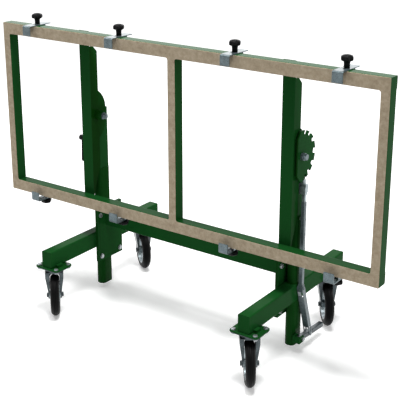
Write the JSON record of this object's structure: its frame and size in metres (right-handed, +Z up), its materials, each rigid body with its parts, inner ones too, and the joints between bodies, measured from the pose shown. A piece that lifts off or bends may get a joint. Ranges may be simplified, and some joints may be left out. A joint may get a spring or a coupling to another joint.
{
  "type": "mobile tilting table",
  "caption": "Mobile tilting work table: felt-faced open frame on telescopic posts, notched index plate with foot-pedal latch, sliding edge clamps and swivel casters.",
  "frame": {"origin": "bottom centre of the whole object's box, on the floor", "axes": "+X along the table's width to the side with the index plate, -Y out of the felt face, +Z up"},
  "size_m": [2, 0.8584, 1.3608],
  "materials": {
    "green_paint": "gloss dark green paint",
    "zinc": "bright zinc plate",
    "felt": "mottled beige needle felt",
    "black_plastic": "moulded satin",
    "tyre": "solid black rubber"
  },
  "bodies": {
    "base": {"left_post_sleeve": "green_paint", "right_post_sleeve": "green_paint", "left_foot": "green_paint", "right_foot": "green_paint", "caster_mount_plates": "green_paint", "caster_top_plates": "zinc", "crossbeam": "green_paint", "flange_plates": "green_paint", "base_bolts": "zinc", "pedal_lug": "green_paint", "pedal_bolt": "zinc"},
    "carriage": {"left_inner_post": "green_paint", "right_inner_post": "green_paint", "left_pivot_bolt": "zinc", "right_pivot_bolt": "zinc", "latch_guide": "zinc"},
    "table": {"top_rail": "green_paint", "bottom_rail": "green_paint", "stile_tubes": "green_paint", "felt_facing": "felt", "left_tilt_channel": "green_paint", "right_tilt_channel": "green_paint", "index_plate": "green_paint", "clamp_studs": "zinc"},
    "lever": {"clamp_lever": "black_plastic"},
    "latch": {"latch_tongue": "zinc"},
    "rod": {"perforated_rod": "zinc", "rod_lock_screw": "zinc"},
    "link": {"foot_link": "zinc"},
    "pedal": {"pedal_lever": "zinc", "pedal_link_pin": "zinc"},
    "clamp_top_1": {"clamp_top_1": "zinc"},
    "knob_top_1": {"knob_top_1": "black_plastic"},
    "clamp_top_2": {"clamp_top_2": "zinc"},
    "knob_top_2": {"knob_top_2": "black_plastic"},
    "clamp_top_3": {"clamp_top_3": "zinc"},
    "knob_top_3": {"knob_top_3": "black_plastic"},
    "clamp_top_4": {"clamp_top_4": "zinc"},
    "knob_top_4": {"knob_top_4": "black_plastic"},
    "clamp_low_1": {"clamp_low_1": "zinc"},
    "knob_low_1": {"knob_low_1": "black_plastic"},
    "clamp_low_2": {"clamp_low_2": "zinc"},
    "knob_low_2": {"knob_low_2": "black_plastic"},
    "clamp_low_3": {"clamp_low_3": "zinc"},
    "knob_low_3": {"knob_low_3": "black_plastic"},
    "clamp_low_4": {"clamp_low_4": "zinc"},
    "knob_low_4": {"knob_low_4": "black_plastic"},
    "fork_front_right": {"fork_front_right": "zinc"},
    "wheel_front_right": {"rim_front_right": "zinc", "tyre_front_right": "tyre"},
    "fork_front_left": {"fork_front_left": "zinc"},
    "wheel_front_left": {"rim_front_left": "zinc", "tyre_front_left": "tyre"},
    "fork_rear_left": {"fork_rear_left": "zinc"},
    "wheel_rear_left": {"rim_rear_left": "zinc", "tyre_rear_left": "tyre"},
    "fork_rear_right": {"fork_rear_right": "zinc"},
    "wheel_rear_right": {"rim_rear_right": "zinc", "tyre_rear_right": "tyre"}
  },
  "joints": [
    {"name": "height_adjust", "type": "slide", "parent": "base", "child": "carriage", "axis": [0, 0, 1], "range_m": [0, 0.15]},
    {"name": "table_tilt", "type": "hinge", "parent": "carriage", "child": "table", "pos_m": [0, -0.01877, 0.903], "axis": [-1, 0, 0], "range_deg": [0, 90]},
    {"name": "clamp_lever_turn", "type": "hinge", "parent": "table", "child": "lever", "pos_m": [-0.59, -0.05077, 0.787], "axis": [1, 0, 0], "range_deg": [-45, 45]},
    {"name": "pedal_press", "type": "hinge", "parent": "base", "child": "pedal", "pos_m": [0.586, 0.01123, 0.066], "axis": [-1, 0, 0], "range_deg": [-7.6, 0]},
    {"name": "rod_lift", "type": "slide", "parent": "base", "child": "rod", "axis": [0, 0, 1], "range_m": [0, 0.0103]},
    {"name": "latch_lift", "type": "slide", "parent": "carriage", "child": "latch", "axis": [0, 0, 1], "range_m": [0, 0.0103]},
    {"name": "link_swing", "type": "hinge", "parent": "rod", "child": "link", "pos_m": [0.586, 0.011, 0.303], "axis": [1, 0, 0], "range_deg": [0, 0.1]},
    {"name": "clamp_top_1_slide", "type": "slide", "parent": "table", "child": "clamp_top_1", "axis": [0, 1, 0], "range_m": [0, 0.023]},
    {"name": "knob_top_1_turn", "type": "hinge", "parent": "table", "child": "knob_top_1", "pos_m": [-0.815, -0.07977, 1.345], "axis": [0, 0, 1], "continuous": true},
    {"name": "clamp_top_2_slide", "type": "slide", "parent": "table", "child": "clamp_top_2", "axis": [0, 1, 0], "range_m": [0, 0.023]},
    {"name": "knob_top_2_turn", "type": "hinge", "parent": "table", "child": "knob_top_2", "pos_m": [-0.318, -0.07977, 1.345], "axis": [0, 0, 1], "continuous": true},
    {"name": "clamp_top_3_slide", "type": "slide", "parent": "table", "child": "clamp_top_3", "axis": [0, 1, 0], "range_m": [0, 0.023]},
    {"name": "knob_top_3_turn", "type": "hinge", "parent": "table", "child": "knob_top_3", "pos_m": [0.294, -0.07977, 1.345], "axis": [0, 0, 1], "continuous": true},
    {"name": "clamp_top_4_slide", "type": "slide", "parent": "table", "child": "clamp_top_4", "axis": [0, 1, 0], "range_m": [0, 0.023]},
    {"name": "knob_top_4_turn", "type": "hinge", "parent": "table", "child": "knob_top_4", "pos_m": [0.799, -0.07977, 1.345], "axis": [0, 0, 1], "continuous": true},
    {"name": "clamp_low_1_slide", "type": "slide", "parent": "table", "child": "clamp_low_1", "axis": [0, 1, 0], "range_m": [0, 0.023]},
    {"name": "knob_low_1_turn", "type": "hinge", "parent": "table", "child": "knob_low_1", "pos_m": [-0.815, -0.07977, 0.42], "axis": [0, 0, 1], "continuous": true},
    {"name": "clamp_low_2_slide", "type": "slide", "parent": "table", "child": "clamp_low_2", "axis": [0, 1, 0], "range_m": [0, 0.023]},
    {"name": "knob_low_2_turn", "type": "hinge", "parent": "table", "child": "knob_low_2", "pos_m": [-0.318, -0.07977, 0.42], "axis": [0, 0, 1], "continuous": true},
    {"name": "clamp_low_3_slide", "type": "slide", "parent": "table", "child": "clamp_low_3", "axis": [0, 1, 0], "range_m": [0, 0.023]},
    {"name": "knob_low_3_turn", "type": "hinge", "parent": "table", "child": "knob_low_3", "pos_m": [0.294, -0.07977, 0.42], "axis": [0, 0, 1], "continuous": true},
    {"name": "clamp_low_4_slide", "type": "slide", "parent": "table", "child": "clamp_low_4", "axis": [0, 1, 0], "range_m": [0, 0.023]},
    {"name": "knob_low_4_turn", "type": "hinge", "parent": "table", "child": "knob_low_4", "pos_m": [0.799, -0.07977, 0.42], "axis": [0, 0, 1], "continuous": true},
    {"name": "swivel_front_right", "type": "hinge", "parent": "base", "child": "fork_front_right", "pos_m": [0.542, -0.32477, 0.215], "axis": [0, 0, 1], "continuous": true},
    {"name": "wheel_front_right_roll", "type": "hinge", "parent": "fork_front_right", "child": "wheel_front_right", "pos_m": [0.55628, -0.34406, 0.1], "axis": [-0.8039, -0.5948, 0], "continuous": true},
    {"name": "swivel_front_left", "type": "hinge", "parent": "base", "child": "fork_front_left", "pos_m": [-0.542, -0.32477, 0.215], "axis": [0, 0, 1], "continuous": true},
    {"name": "wheel_front_left_roll", "type": "hinge", "parent": "fork_front_left", "child": "wheel_front_left", "pos_m": [-0.52563, -0.34232, 0.1], "axis": [-0.7314, -0.682, 0], "continuous": true},
    {"name": "swivel_rear_left", "type": "hinge", "parent": "base", "child": "fork_rear_left", "pos_m": [-0.542, 0.32923, 0.215], "axis": [0, 0, 1], "continuous": true},
    {"name": "wheel_rear_left_roll", "type": "hinge", "parent": "fork_rear_left", "child": "wheel_rear_left", "pos_m": [-0.52309, 0.31445, 0.1], "axis": [-0.6157, -0.788, 0], "continuous": true},
    {"name": "swivel_rear_right", "type": "hinge", "parent": "base", "child": "fork_rear_right", "pos_m": [0.542, 0.32923, 0.215], "axis": [0, 0, 1], "continuous": true},
    {"name": "wheel_rear_right_roll", "type": "hinge", "parent": "fork_rear_right", "child": "wheel_rear_right", "pos_m": [0.55694, 0.31045, 0.1], "axis": [-0.7826, -0.6225, 0], "continuous": true}
  ],
  "couplings": [
    {"joint": "rod_lift", "follows": "pedal_press", "m_per_rad": -0.076279},
    {"joint": "latch_lift", "follows": "pedal_press", "m_per_rad": -0.076279},
    {"joint": "link_swing", "follows": "pedal_press", "ratio": -0.0084687}
  ]
}
